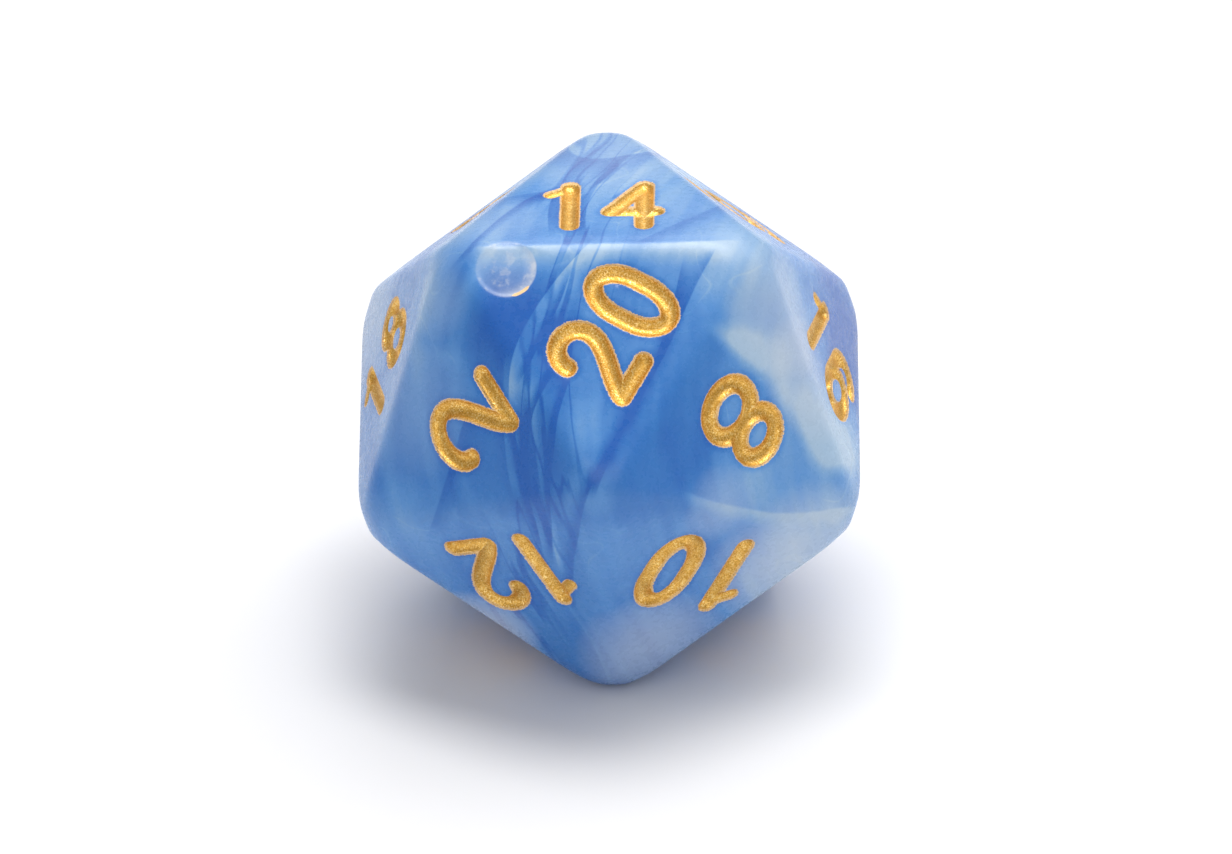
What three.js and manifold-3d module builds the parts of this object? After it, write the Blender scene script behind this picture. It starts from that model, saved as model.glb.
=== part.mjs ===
// A twenty-sided die: one cast resin body with engraved numerals, and a deposit of gold paint in
// the groove of every digit. Millimetres, +Z up. The die rests on its 7 with the 14 on top, and
// the origin is the centre of the face it rests on.
import * as THREE from 'three';
import { ConvexGeometry } from 'three/addons/geometries/ConvexGeometry.js';
import * as BufferGeometryUtils from 'three/addons/utils/BufferGeometryUtils.js';
import Module from 'manifold-3d';

const wasm = await Module();
wasm.setup();

// ---- Driving dimensions ------------------------------------------------------------------------

const FACE_TO_FACE = 20;        // across two opposite faces
const EDGE_ROUND = 0.8;         // radius along the edges
const CORNER_REACH = 11.86;     // tumbling wears the corners down to this far from the centre
const EDGE_STEPS = 4;           // flats across one rounded edge
const CORNER_DETAIL = 15;       // fineness of the ball that trims the corners

const TOOL_RADIUS = 0.42;       // ball nose that cuts the numerals
const FLAG_RADIUS = 0.3;        // smaller ball nose for the flag of the 1 and for underlines
const TOOL_LIFT = 0.06;         // centre of the ball above the face, so the groove is 0.36 deep
const SECTION_SIDES = 8;        // sides of the swept tool, and of its ball nose seen from above
const CURVE_STEP = 0.65;        // length of one step along a curved stroke

const DIGIT_TOP = 1.76;         // centre line of a digit runs from -1.76 to +1.76
const NARROW = 0.89;            // half width of a digit that shares its face with another
const WIDE = 1.2;               // half width of a digit that is alone on its face
const UNDERLINE_DROP = 2.85;    // underline of the 6 and 9, below the middle of the digit

const PAINT_LEVEL = 0.14;       // top of the dried paint, below the face
const PAINT_GAP = 0.03;         // clearance between the paint and the wall of its groove

const GATE_RADIUS = 1.32;       // round mark of the casting gate on the face of the 20
const GATE_DEPTH = 0.05;
const GATE_SIDES = 32;
const GATE_PLACE = [0.35, 4.85];

// ---- Corners and faces of the icosahedron ------------------------------------------------------

const PHI = (1 + Math.sqrt(5)) / 2;
const CENTRE = new THREE.Vector3(0, 0, FACE_TO_FACE / 2);
const TRIANGLE_RADIUS = FACE_TO_FACE / PHI ** 2;  // circle through the corners of one face
const BELT_RADIUS = TRIANGLE_RADIUS * PHI;        // circle through three corners of the belt

function corner(radius, degrees, height) {
  const angle = THREE.MathUtils.degToRad(degrees);
  return new THREE.Vector3(radius * Math.cos(angle), radius * Math.sin(angle), height);
}

const CORNERS = {
  topBack: corner(TRIANGLE_RADIUS, 90, FACE_TO_FACE),
  topLeft: corner(TRIANGLE_RADIUS, 210, FACE_TO_FACE),
  topRight: corner(TRIANGLE_RADIUS, 330, FACE_TO_FACE),
  upperRight: corner(BELT_RADIUS, 30, BELT_RADIUS),
  upperLeft: corner(BELT_RADIUS, 150, BELT_RADIUS),
  upperFront: corner(BELT_RADIUS, 270, BELT_RADIUS),
  lowerBack: corner(BELT_RADIUS, 90, TRIANGLE_RADIUS),
  lowerLeft: corner(BELT_RADIUS, 210, TRIANGLE_RADIUS),
  lowerRight: corner(BELT_RADIUS, 330, TRIANGLE_RADIUS),
  bottomRight: corner(TRIANGLE_RADIUS, 30, 0),
  bottomLeft: corner(TRIANGLE_RADIUS, 150, 0),
  bottomFront: corner(TRIANGLE_RADIUS, 270, 0),
};

// The top of each numeral points at the first corner of its face. Opposite faces add up to 21.
// Places of the digits are along the face's own right and up, from the middle of the face.
const TENS = -1.4;
const UNITS = 1.4;
const RISE = -0.2;
const FACES = [
  { number: 1, corners: ['bottomRight', 'bottomLeft', 'lowerBack'] },
  { number: 2, corners: ['lowerLeft', 'topLeft', 'upperFront'], rise: -0.2 },
  { number: 3, corners: ['bottomRight', 'lowerRight', 'upperRight'] },
  { number: 4, corners: ['upperLeft', 'topLeft', 'topBack'] },
  { number: 5, corners: ['bottomLeft', 'lowerLeft', 'upperLeft'] },
  { number: 6, corners: ['upperRight', 'topRight', 'topBack'], rise: 0.2 },
  { number: 7, corners: ['bottomFront', 'bottomLeft', 'bottomRight'] },
  { number: 8, corners: ['lowerRight', 'topRight', 'upperFront'], rise: 0 },
  { number: 9, corners: ['topBack', 'upperRight', 'lowerBack'], rise: 0.2 },
  { number: 10, corners: ['bottomFront', 'upperFront', 'lowerRight'], tens: -1.6, units: 1.3, rise: -0.15 },
  { number: 11, corners: ['topBack', 'upperLeft', 'lowerBack'], tens: -1, units: 1 },
  { number: 12, corners: ['bottomFront', 'upperFront', 'lowerLeft'], tens: -1.2, units: 1.5, rise: -0.4 },
  { number: 13, corners: ['lowerBack', 'upperLeft', 'bottomLeft'] },
  { number: 14, corners: ['topBack', 'topLeft', 'topRight'], tens: -1.4, units: 1.2, rise: -0.5 },
  { number: 15, corners: ['lowerLeft', 'bottomFront', 'bottomLeft'] },
  { number: 16, corners: ['upperRight', 'topRight', 'lowerRight'], tens: -1.15, units: 1.65, rise: -0.05 },
  { number: 17, corners: ['lowerRight', 'bottomFront', 'bottomRight'] },
  { number: 18, corners: ['upperLeft', 'topLeft', 'lowerLeft'], tens: -1.65, units: 1.1, rise: 0.2 },
  { number: 19, corners: ['upperRight', 'bottomRight', 'lowerBack'] },
  { number: 20, corners: ['topLeft', 'topRight', 'upperFront'], tens: -1.35, units: 1.65, rise: -0.45 },
];

// The frame of a face: X to the right of its numeral, Y up it, Z out of the die.
function faceFrame(face) {
  const [first, second, third] = face.corners.map((name) => CORNERS[name]);
  const middle = new THREE.Vector3().add(first).add(second).add(third).divideScalar(3);
  const outward = middle.clone().sub(CENTRE).normalize();
  const up = first.clone().sub(middle).normalize();
  const right = new THREE.Vector3().crossVectors(up, outward);
  return new THREE.Matrix4().makeBasis(right, up, outward).setPosition(middle);
}

// ---- Solids ------------------------------------------------------------------------------------

function toSolid(geometry) {
  geometry.deleteAttribute('normal');
  geometry.deleteAttribute('uv');
  const merged = BufferGeometryUtils.mergeVertices(geometry);
  const vertProperties = new Float32Array(merged.attributes.position.array);
  const triVerts = new Uint32Array(merged.index.array);
  return new wasm.Manifold(new wasm.Mesh({ numProp: 3, vertProperties, triVerts }));
}

function toGeometry(solid) {
  const { vertProperties, triVerts } = solid.getMesh();
  const geometry = new THREE.BufferGeometry();
  geometry.setAttribute('position', new THREE.BufferAttribute(vertProperties, 3));
  geometry.setIndex(new THREE.BufferAttribute(triVerts, 1));
  geometry.computeVertexNormals();
  return geometry;
}

function joined(solids) {
  return solids.reduce((whole, solid) => whole.add(solid));
}

// ---- Strokes of the digits ---------------------------------------------------------------------

const point = (x, y) => new THREE.Vector2(x, y);
const line = (x0, y0, x1, y1) => new THREE.LineCurve(point(x0, y0), point(x1, y1));

// Part of an ellipse between two angles in degrees, counter-clockwise unless it is told otherwise.
function arc(x, y, halfWidth, halfHeight, from, to, clockwise = false) {
  const start = THREE.MathUtils.degToRad(from);
  const end = THREE.MathUtils.degToRad(to);
  return new THREE.EllipseCurve(x, y, halfWidth, halfHeight, start, end, clockwise);
}

function ring(x, y, halfWidth, halfHeight) {
  return [arc(x, y, halfWidth, halfHeight, 0, 180), arc(x, y, halfWidth, halfHeight, 180, 360)];
}

const WAIST = 0.13;             // height where the bowls of 3 and 8 meet
const HOOK = 0.88;              // height of the hook's end on the 2

function six(w) {
  const bowlTop = 0.48;
  const bowl = (DIGIT_TOP + bowlTop) / 2;
  const shoulder = 0.75;
  return [
    ...ring(0, bowlTop - bowl, w, bowl),
    arc(0, shoulder, w, DIGIT_TOP - shoulder, 24, 180),
    line(-w, shoulder, -w, bowlTop - bowl),
  ];
}

function turned(curve) {
  if (curve.isLineCurve) {
    return line(-curve.v1.x, -curve.v1.y, -curve.v2.x, -curve.v2.y);
  }
  const copy = curve.clone();
  copy.aX = -curve.aX;
  copy.aY = -curve.aY;
  copy.aStartAngle += Math.PI;
  copy.aEndAngle += Math.PI;
  return copy;
}

// Each digit takes its half width and gives the centre lines of its strokes.
const DIGITS = {
  0: (w) => {
    const side = 0.3;
    return [
      arc(0, side, w, DIGIT_TOP - side, 0, 180),
      line(-w, side, -w, -side),
      arc(0, -side, w, DIGIT_TOP - side, 180, 360),
      line(w, -side, w, side),
    ];
  },
  1: () => [line(0, DIGIT_TOP, 0, -DIGIT_TOP)],
  2: (w) => [
    arc(0, HOOK, w, DIGIT_TOP - HOOK, 180, 0, true),
    new THREE.CubicBezierCurve(
      point(w, HOOK), point(w, HOOK - 0.95), point(0.4 - w, 0.9 - DIGIT_TOP), point(-w, -DIGIT_TOP)),
    line(-w, -DIGIT_TOP, w, -DIGIT_TOP),
  ],
  3: (w) => {
    const upper = (DIGIT_TOP - WAIST) / 2;
    const lower = (DIGIT_TOP + WAIST) / 2;
    return [
      arc(0, WAIST + upper, 0.9 * w, upper, 155, -90, true),
      arc(0, WAIST - lower, w, lower, 90, -155, true),
    ];
  },
  4: (w) => [
    line(0.6 * w, DIGIT_TOP, 0.6 * w, -DIGIT_TOP),
    line(0.6 * w, DIGIT_TOP, -w, -0.55),
    line(-w, -0.55, w + 0.1, -0.55),
  ],
  5: (w) => {
    const bowl = 1.08;
    const join = THREE.MathUtils.degToRad(145);
    const joinX = w * Math.cos(join);
    const joinY = bowl - DIGIT_TOP + bowl * Math.sin(join);
    return [
      line(0.85 * w, DIGIT_TOP, -0.75 * w, DIGIT_TOP),
      line(-0.75 * w, DIGIT_TOP, joinX, joinY),
      arc(0, bowl - DIGIT_TOP, w, bowl, 145, -150, true),
    ];
  },
  6: six,
  7: (w) => [line(-w, DIGIT_TOP, w, DIGIT_TOP), line(w, DIGIT_TOP, -0.35 * w, -DIGIT_TOP)],
  8: (w) => {
    const upper = (DIGIT_TOP - WAIST) / 2;
    const lower = (DIGIT_TOP + WAIST) / 2;
    return [...ring(0, WAIST + upper, 0.87 * w, upper), ...ring(0, WAIST - lower, w, lower)];
  },
  9: (w) => six(w).map(turned),
};

const FLAG = () => [line(-0.1, 1.5, -0.85, 1.05)];
const UNDERLINE = (w) => [line(-0.75 * w, -UNDERLINE_DROP, 0.75 * w, -UNDERLINE_DROP)];

// ---- Engraving ---------------------------------------------------------------------------------

// A flat curve raised to the height of the tool's centre.
class ToolPath extends THREE.Curve {
  constructor(flat) {
    super();
    this.flat = flat;
  }

  getPoint(t, target = new THREE.Vector3()) {
    const { x, y } = this.flat.getPoint(t);
    return target.set(x, y, TOOL_LIFT);
  }
}

// The ball nose at one end of a stroke, with a pole pointing into the die.
function ball(place, radius) {
  const sphere = new THREE.SphereGeometry(radius, SECTION_SIDES, SECTION_SIDES / 2).rotateX(Math.PI / 2);
  return toSolid(sphere.translate(place.x, place.y, place.z));
}

function sweep(curve, radius) {
  const path = new ToolPath(curve);
  const section = new THREE.Shape().absarc(0, 0, radius, 0, 2 * Math.PI);
  const tube = new THREE.ExtrudeGeometry(section, {
    steps: curve.isLineCurve ? 1 : Math.ceil(curve.getLength() / CURVE_STEP),
    curveSegments: SECTION_SIDES / 2,
    extrudePath: path,
  });
  return joined([toSolid(tube), ball(path.getPoint(0), radius), ball(path.getPoint(1), radius)]);
}

// The strokes of one digit or underline: the lists of curves that each tool follows.
function strokesOf(digit, halfWidth) {
  const strokes = [{ curves: DIGITS[digit](halfWidth), radius: TOOL_RADIUS }];
  if (digit === 1) {
    strokes.push({ curves: FLAG(), radius: FLAG_RADIUS });
  }
  return strokes;
}

function swept(strokes, clearance) {
  const solids = strokes.map(({ curves, radius }) =>
    joined(curves.map((curve) => sweep(curve, radius - clearance))));
  return joined(solids);
}

// Everything that is cut into one face, as named sets of strokes at a place on the face.
function marksOf(face) {
  const { number, tens = TENS, units = UNITS, rise = RISE } = face;
  if (number < 10) {
    const marks = [{ name: `gold_${number}`, strokes: strokesOf(number, WIDE), place: [0, rise] }];
    if (number === 6 || number === 9) {
      const strokes = [{ curves: UNDERLINE(WIDE), radius: FLAG_RADIUS }];
      marks.push({ name: `gold_${number}_underline`, strokes, place: [0, rise] });
    }
    return marks;
  }
  const first = Math.floor(number / 10);
  const second = number % 10;
  return [
    { name: `gold_${number}_tens`, strokes: strokesOf(first, NARROW), place: [tens, rise] },
    { name: `gold_${number}_units`, strokes: strokesOf(second, NARROW), place: [units, rise] },
  ];
}

// ---- Body --------------------------------------------------------------------------------------

// Points round every rounded edge: an arc from one face's normal to the next, at both its ends.
function roundedBlank() {
  const shrink = 1 - EDGE_ROUND / (FACE_TO_FACE / 2);
  const normals = FACES.map((face) => new THREE.Vector3().setFromMatrixColumn(faceFrame(face), 2));
  const points = [];
  FACES.forEach((face, i) => {
    FACES.slice(i + 1).forEach((other, j) => {
      const shared = face.corners.filter((name) => other.corners.includes(name));
      if (shared.length < 2) {
        return;
      }
      for (let step = 0; step <= EDGE_STEPS; step += 1) {
        const turn = new THREE.Quaternion().setFromUnitVectors(normals[i], normals[i + 1 + j]);
        const part = new THREE.Quaternion().slerp(turn, step / EDGE_STEPS);
        const offset = normals[i].clone().applyQuaternion(part).multiplyScalar(EDGE_ROUND);
        shared.forEach((name) => {
          const inner = CORNERS[name].clone().sub(CENTRE).multiplyScalar(shrink).add(CENTRE);
          points.push(inner.add(offset));
        });
      }
    });
  });
  const ballTrim = new THREE.IcosahedronGeometry(CORNER_REACH, CORNER_DETAIL);
  ballTrim.translate(CENTRE.x, CENTRE.y, CENTRE.z);
  return toSolid(new ConvexGeometry(points)).intersect(toSolid(ballTrim));
}

function gateCut() {
  const disc = new THREE.CylinderGeometry(GATE_RADIUS, GATE_RADIUS, 2 * GATE_DEPTH, GATE_SIDES);
  return toSolid(disc.rotateX(Math.PI / 2).translate(...GATE_PLACE, 0));
}

// ---- The die -----------------------------------------------------------------------------------

const resin = new THREE.MeshStandardMaterial({ color: 0x5a8fd6, roughness: 0.35, metalness: 0 });
const gold = new THREE.MeshStandardMaterial({ color: 0xc8923a, roughness: 0.45, metalness: 0.8 });

const group = new THREE.Group();
const belowPaintLevel = toSolid(
  new THREE.BoxGeometry(FACE_TO_FACE, FACE_TO_FACE, 1).translate(0, 0, -PAINT_LEVEL - 0.5));

let blank = roundedBlank();
for (const face of FACES) {
  const frame = faceFrame(face);
  const cuts = face.number === 20 ? [gateCut()] : [];
  for (const { name, strokes, place } of marksOf(face)) {
    const groove = swept(strokes, 0);
    cuts.push(groove.translate([...place, 0]));
    const deposit = swept(strokes, PAINT_GAP).intersect(belowPaintLevel);
    const paint = new THREE.Mesh(toGeometry(deposit), gold);
    paint.name = name;
    paint.applyMatrix4(new THREE.Matrix4().makeTranslation(...place, 0).premultiply(frame));
    group.add(paint);
  }
  blank = blank.subtract(joined(cuts).transform(frame.elements));
}

const body = new THREE.Mesh(toGeometry(blank), resin);
body.name = 'body';
group.add(body);

export default group;
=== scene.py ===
# %% [markdown]
# # A marbled twenty-sided die
# The real die is one piece of cast resin. Blue and pearl-white resin are poured together, so the
# colours run through it in folded sheets. A numeral is sunk in every face, and gold paint dries in
# its groove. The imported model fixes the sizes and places, and this lesson makes the fine surface.

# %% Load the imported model
import math

import bmesh
import bpy
import numpy as np
from mathutils import Matrix, Quaternion, Vector
from mathutils.kdtree import KDTree


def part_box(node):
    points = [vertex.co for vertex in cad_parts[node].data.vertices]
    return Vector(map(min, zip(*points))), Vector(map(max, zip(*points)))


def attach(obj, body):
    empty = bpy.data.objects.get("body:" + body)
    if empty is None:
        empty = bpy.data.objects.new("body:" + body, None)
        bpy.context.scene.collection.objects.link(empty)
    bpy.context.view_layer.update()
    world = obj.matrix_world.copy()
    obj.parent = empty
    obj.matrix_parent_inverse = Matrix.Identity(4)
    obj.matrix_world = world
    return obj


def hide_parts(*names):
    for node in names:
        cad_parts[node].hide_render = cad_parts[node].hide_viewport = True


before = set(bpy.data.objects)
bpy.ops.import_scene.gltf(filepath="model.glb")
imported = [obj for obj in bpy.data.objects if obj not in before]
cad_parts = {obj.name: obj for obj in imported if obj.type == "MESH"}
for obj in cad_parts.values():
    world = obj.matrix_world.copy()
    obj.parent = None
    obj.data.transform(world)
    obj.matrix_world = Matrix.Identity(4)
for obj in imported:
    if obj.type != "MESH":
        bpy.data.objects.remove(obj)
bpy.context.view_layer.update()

MM = 0.001

# %% [markdown]
# ## The shape behind the die
# A regular icosahedron that rests on a face has its corners in four level triangles. The distance
# between two opposite faces gives all of them, by the golden ratio, so only that is measured on the
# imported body.

# %% Corners
FACE_TO_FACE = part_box("body")[1].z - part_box("body")[0].z
PHI = (1 + math.sqrt(5)) / 2
CENTRE = Vector((0, 0, FACE_TO_FACE / 2))
TRIANGLE_RADIUS = FACE_TO_FACE / PHI**2
BELT_RADIUS = TRIANGLE_RADIUS * PHI


TO_BACK = {side: math.radians(turn) for side, turn in {"back": 90, "left": 210, "right": 330}.items()}
TO_FRONT = {side: math.radians(turn) for side, turn in {"right": 30, "left": 150, "front": 270}.items()}
RINGS = [
    ("top", TRIANGLE_RADIUS, FACE_TO_FACE, TO_BACK),
    ("upper", BELT_RADIUS, BELT_RADIUS, TO_FRONT),
    ("lower", BELT_RADIUS, TRIANGLE_RADIUS, TO_BACK),
    ("bottom", TRIANGLE_RADIUS, 0, TO_FRONT),
]
CORNERS = {
    f"{ring}_{side}": Vector((radius * math.cos(turn), radius * math.sin(turn), height))
    for ring, radius, height, sides in RINGS
    for side, turn in sides.items()
}
print("edge length in mm:", round((CORNERS["top_left"] - CORNERS["top_right"]).length / MM, 3))

# %% [markdown]
# ## Which numeral is where
# Opposite faces add up to twenty-one. The top of each numeral points at the first corner in its
# row. After the corners come the places of the tens and units digits along the face, and how far
# the numeral sits above its middle, in millimetres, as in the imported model.

# %% Faces
FACES = {
    1: (("bottom_right", "bottom_left", "lower_back"), 0, 0, -0.2),
    2: (("lower_left", "top_left", "upper_front"), 0, 0, -0.2),
    3: (("bottom_right", "lower_right", "upper_right"), 0, 0, -0.2),
    4: (("upper_left", "top_left", "top_back"), 0, 0, -0.2),
    5: (("bottom_left", "lower_left", "upper_left"), 0, 0, -0.2),
    6: (("upper_right", "top_right", "top_back"), 0, 0, 0.2),
    7: (("bottom_front", "bottom_left", "bottom_right"), 0, 0, -0.2),
    8: (("lower_right", "top_right", "upper_front"), 0, 0, 0),
    9: (("top_back", "upper_right", "lower_back"), 0, 0, 0.2),
    10: (("bottom_front", "upper_front", "lower_right"), -1.6, 1.3, -0.15),
    11: (("top_back", "upper_left", "lower_back"), -1, 1, -0.2),
    12: (("bottom_front", "upper_front", "lower_left"), -1.2, 1.5, -0.4),
    13: (("lower_back", "upper_left", "bottom_left"), -1.4, 1.4, -0.2),
    14: (("top_back", "top_left", "top_right"), -1.4, 1.2, -0.5),
    15: (("lower_left", "bottom_front", "bottom_left"), -1.4, 1.4, -0.2),
    16: (("upper_right", "top_right", "lower_right"), -1.15, 1.65, -0.05),
    17: (("lower_right", "bottom_front", "bottom_right"), -1.4, 1.4, -0.2),
    18: (("upper_left", "top_left", "lower_left"), -1.65, 1.1, 0.2),
    19: (("upper_right", "bottom_right", "lower_back"), -1.4, 1.4, -0.2),
    20: (("top_left", "top_right", "upper_front"), -1.35, 1.65, -0.45),
}


def face_frame(number):
    """X to the right of the numeral, Y up it, Z out of the die, from the middle of the face."""
    first, second, third = (CORNERS[name] for name in FACES[number][0])
    middle = (first + second + third) / 3
    outward = (middle - CENTRE).normalized()
    up = (first - middle).normalized()
    right = up.cross(outward)
    turn = Matrix((right, up, outward)).transposed()
    return Matrix.Translation(middle) @ turn.to_4x4()


print("outward direction of the 20:", [round(x, 3) for x in face_frame(20).col[2][:3]])

# %% [markdown]
# ## Strokes of the digits
# Each digit was cut by a ball-nosed tool that followed a centre line, so a digit is kept as centre
# lines, in millimetres on its face. Round strokes are parts of ellipses. Two digits that share a
# face are narrower than one that has a face to itself.

# %% Lines and arcs
DIGIT_TOP = 1.76
NARROW = 0.89
WIDE = 1.2
WAIST = 0.13
HOOK = 0.88
UNDERLINE_DROP = 2.85
STROKE_STEP = 0.05


def line(x0, y0, x1, y1):
    steps = max(1, math.ceil(math.hypot(x1 - x0, y1 - y0) / STROKE_STEP))
    return [(x0 + (x1 - x0) * i / steps, y0 + (y1 - y0) * i / steps) for i in range(steps + 1)]


def arc(x, y, half_width, half_height, start, end):
    """Part of an ellipse between two angles in degrees."""
    length = math.radians(abs(end - start)) * (half_width + half_height) / 2
    steps = math.ceil(length / STROKE_STEP)
    angles = [math.radians(start + (end - start) * i / steps) for i in range(steps + 1)]
    return [(x + half_width * math.cos(a), y + half_height * math.sin(a)) for a in angles]


def bend(start, leaving, arriving, end):
    """A cubic curve that leaves and arrives towards two handles."""
    steps = math.ceil(math.dist(start, end) * 1.2 / STROKE_STEP)
    points = []
    for i in range(steps + 1):
        t = i / steps
        weights = ((1 - t) ** 3, 3 * t * (1 - t) ** 2, 3 * t**2 * (1 - t), t**3)
        handles = (start, leaving, arriving, end)
        points.append(tuple(sum(w * h[axis] for w, h in zip(weights, handles)) for axis in (0, 1)))
    return points


print("points on a full turn of the narrow 0:", len(arc(0, 0, NARROW, DIGIT_TOP, 0, 360)))


# %% Digits
def nought(w):
    side = 0.3
    cap = DIGIT_TOP - side
    top, bottom = arc(0, side, w, cap, 0, 180), arc(0, -side, w, cap, 180, 360)
    return [top, line(-w, side, -w, -side), bottom, line(w, -side, w, side)]


def two(w):
    slope = bend((w, HOOK), (w, HOOK - 0.95), (0.4 - w, 0.9 - DIGIT_TOP), (-w, -DIGIT_TOP))
    return [arc(0, HOOK, w, DIGIT_TOP - HOOK, 180, 0), slope, line(-w, -DIGIT_TOP, w, -DIGIT_TOP)]


def three(w):
    upper, lower = (DIGIT_TOP - WAIST) / 2, (DIGIT_TOP + WAIST) / 2
    return [arc(0, WAIST + upper, 0.9 * w, upper, 155, -90), arc(0, WAIST - lower, w, lower, 90, -155)]


def four(w):
    stem, bar = 0.6 * w, -0.55
    return [
        line(stem, DIGIT_TOP, stem, -DIGIT_TOP),
        line(stem, DIGIT_TOP, -w, bar),
        line(-w, bar, w + 0.1, bar),
    ]


def five(w):
    bowl, start = 1.08, 145
    join = (w * math.cos(math.radians(start)), bowl - DIGIT_TOP + bowl * math.sin(math.radians(start)))
    return [
        line(0.85 * w, DIGIT_TOP, -0.75 * w, DIGIT_TOP),
        line(-0.75 * w, DIGIT_TOP, *join),
        arc(0, bowl - DIGIT_TOP, w, bowl, start, -150),
    ]


def six(w):
    bowl_top, shoulder = 0.48, 0.75
    bowl = (DIGIT_TOP + bowl_top) / 2
    return [
        arc(0, bowl_top - bowl, w, bowl, 0, 360),
        arc(0, shoulder, w, DIGIT_TOP - shoulder, 24, 180),
        line(-w, shoulder, -w, bowl_top - bowl),
    ]


def seven(w):
    return [line(-w, DIGIT_TOP, w, DIGIT_TOP), line(w, DIGIT_TOP, -0.35 * w, -DIGIT_TOP)]


def eight(w):
    upper, lower = (DIGIT_TOP - WAIST) / 2, (DIGIT_TOP + WAIST) / 2
    return [arc(0, WAIST + upper, 0.87 * w, upper, 0, 360), arc(0, WAIST - lower, w, lower, 0, 360)]


def nine(w):
    return [[(-x, -y) for x, y in stroke] for stroke in six(w)]


def stem(_):
    return [line(0, DIGIT_TOP, 0, -DIGIT_TOP)]


DIGITS = {0: nought, 1: stem, 2: two, 3: three, 4: four, 5: five, 6: six, 7: seven, 8: eight, 9: nine}
FLAG = line(-0.1, 1.5, -0.85, 1.05)
UNDERLINE = line(-0.75 * WIDE, -UNDERLINE_DROP, 0.75 * WIDE, -UNDERLINE_DROP)


def marks_of(number):
    """The marks on one face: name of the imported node, wide strokes, thin strokes and place."""
    _, tens, units, rise = FACES[number]
    if number >= 10:
        places = [("tens", number // 10, tens), ("units", number % 10, units)]
        return [
            (f"gold_{number}_{part}", DIGITS[digit](NARROW), [FLAG] if digit == 1 else [], (x, rise))
            for part, digit, x in places
        ]
    marks = [(f"gold_{number}", DIGITS[number](WIDE), [FLAG] if number == 1 else [], (0, rise))]
    if number in (6, 9):
        marks.append((f"gold_{number}_underline", [], [UNDERLINE], (0, rise)))
    return marks


MARKS = {number: marks_of(number) for number in FACES}
print("marks:", sum(len(marks) for marks in MARKS.values()))

# %% [markdown]
# ## Writing node trees as expressions
# A node tree is easier to read as a formula than as a list of links. A Wire holds one output
# socket, and maths on it adds the Math node that does the sum. A Board makes every other node: it
# takes the node's type, its settings, and what goes into its sockets.


# %% Wires and boards
def socket_of(sockets, key):
    """A socket by its place, its identifier or its name."""
    if isinstance(key, int):
        return sockets[key]
    return next((s for s in sockets if s.identifier == key), None) or sockets[key]


def is_vector(value):
    return isinstance(value, Wire) and value.socket.type in ("VECTOR", "RGBA")


class Wire:
    """One output socket, so that maths on it can be written as an expression."""

    def __init__(self, board, socket):
        self.board = board
        self.socket = socket

    def out(self, key):
        return Wire(self.board, socket_of(self.socket.node.outputs, key))

    def maths(self, operation, *values, out=0):
        kind = "ShaderNodeVectorMath" if any(map(is_vector, values)) else "ShaderNodeMath"
        return self.board.add(kind, {"operation": operation}, dict(enumerate(values)), out)

    def __add__(self, other):
        return self.maths("ADD", self, other)

    def __radd__(self, other):
        return self.maths("ADD", other, self)

    def __sub__(self, other):
        return self.maths("SUBTRACT", self, other)

    def __rsub__(self, other):
        return self.maths("SUBTRACT", other, self)

    def __mul__(self, other):
        if is_vector(self) and not is_vector(other) and not isinstance(other, Vector):
            feeds = {0: self, "Scale": other}
            return self.board.add("ShaderNodeVectorMath", {"operation": "SCALE"}, feeds)
        return self.maths("MULTIPLY", self, other)

    def __rmul__(self, other):
        return self * other

    def __truediv__(self, other):
        return self.maths("DIVIDE", self, other)

    def __rtruediv__(self, other):
        return self.maths("DIVIDE", other, self)

    def __gt__(self, other):
        return self.maths("GREATER_THAN", self, other)

    def __lt__(self, other):
        return self.maths("LESS_THAN", self, other)

    def at_least(self, other):
        return self.maths("MAXIMUM", self, other)

    def at_most(self, other):
        return self.maths("MINIMUM", self, other)

    def length(self):
        return self.maths("LENGTH", self, out="Value")

    def unit(self):
        return self.maths("NORMALIZE", self)

    def dot(self, other):
        return self.maths("DOT_PRODUCT", self, other, out="Value")

    def size(self):
        return self.maths("ABSOLUTE", self)

    def root(self):
        return self.maths("SQRT", self.at_least(0))


class Board:
    """A node tree being filled."""

    def __init__(self, tree):
        self.tree = tree

    def add(self, kind, settings=None, feeds=None, out=0):
        """Makes a node, sets it up, feeds its sockets and hands back one of its outputs."""
        node = self.tree.nodes.new(kind)
        for name, value in (settings or {}).items():
            if name == "stops":
                self.set_stops(node.color_ramp, value)
            else:
                setattr(node, name, value)
        for key, value in (feeds or {}).items():
            socket = socket_of(node.inputs, key)
            if isinstance(value, Wire):
                self.tree.links.new(value.socket, socket)
            else:
                socket.default_value = value
        return Wire(self, socket_of(node.outputs, out)) if len(node.outputs) else node

    @staticmethod
    def set_stops(ramp, stops):
        while len(ramp.elements) < len(stops):
            ramp.elements.new(0.5)
        for element, (place, colour) in zip(ramp.elements, stops):
            element.position = place
            element.color = (*colour, 1)


print("wires and boards are ready")

# %% [markdown]
# ## Running a tree on a piece
# Geometry Nodes do the shaping. Each tree has named inputs for its sizes. A modifier stores an
# input under the identifier of its socket, so the helper looks the identifier up by the label. The
# result is copied out as a plain mesh, and the modifier is taken away again.


# %% Trees with named inputs
def put_in_scene(name, data):
    obj = bpy.data.objects.new(name, data)
    bpy.context.scene.collection.objects.link(obj)
    return obj


def new_tree(name, inputs):
    """A geometry tree with these labelled inputs: its board, and a wire for each input."""
    tree = bpy.data.node_groups.new(name, "GeometryNodeTree")
    tree.interface.new_socket("Geometry", in_out="OUTPUT", socket_type="NodeSocketGeometry")
    for label, kind in {"Geometry": "Geometry", **inputs}.items():
        tree.interface.new_socket(label, in_out="INPUT", socket_type=f"NodeSocket{kind}")
    board = Board(tree)
    entry = board.add("NodeGroupInput")
    return board, {label: entry.out(label) for label in ("Geometry", *inputs)}


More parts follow.
